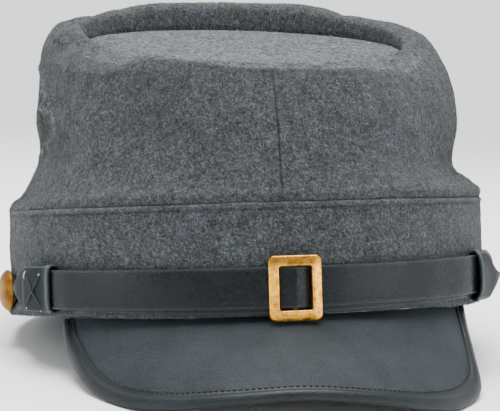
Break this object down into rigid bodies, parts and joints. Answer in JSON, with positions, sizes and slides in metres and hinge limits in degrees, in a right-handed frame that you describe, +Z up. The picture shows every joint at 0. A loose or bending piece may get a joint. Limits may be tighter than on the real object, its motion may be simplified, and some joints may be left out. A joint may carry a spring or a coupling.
{
  "type": "kepi cap",
  "caption": "Soft wool kepi cap with a sunken round top that slopes to the front, a bound leather peak, and a chin strap with a slide buckle, leather keepers and side buttons.",
  "frame": {"origin": "on the surface the cap stands on, under the middle of its bounding box", "axes": "+Z up, -Y the way the peak points, +X to the right of someone facing the cap's front"},
  "size_m": [0.1956, 0.2394, 0.1345],
  "materials": {
    "wool_band": "matte",
    "wool_crown_left": "matte",
    "wool_crown_right": "matte",
    "wool_crown_top": "matte",
    "leather_peak": "satin",
    "leather_binding": "satin",
    "leather_strap_under": "satin",
    "leather_strap_upper": "satin",
    "leather_keeper_left": "satin",
    "leather_keeper_right": "satin",
    "brass_buckle": "satin",
    "brass_button_left": "satin",
    "brass_button_right": "satin"
  },
  "bodies": {
    "root": {"band": "wool_band", "crown_left": "wool_crown_left", "crown_right": "wool_crown_right", "crown_top": "wool_crown_top", "peak": "leather_peak", "peak_binding": "leather_binding", "strap_under": "leather_strap_under", "strap_upper": "leather_strap_upper", "keeper_left": "leather_keeper_left", "keeper_right": "leather_keeper_right", "buckle": "brass_buckle", "button_left": "brass_button_left", "button_right": "brass_button_right"}
  },
  "joints": []
}
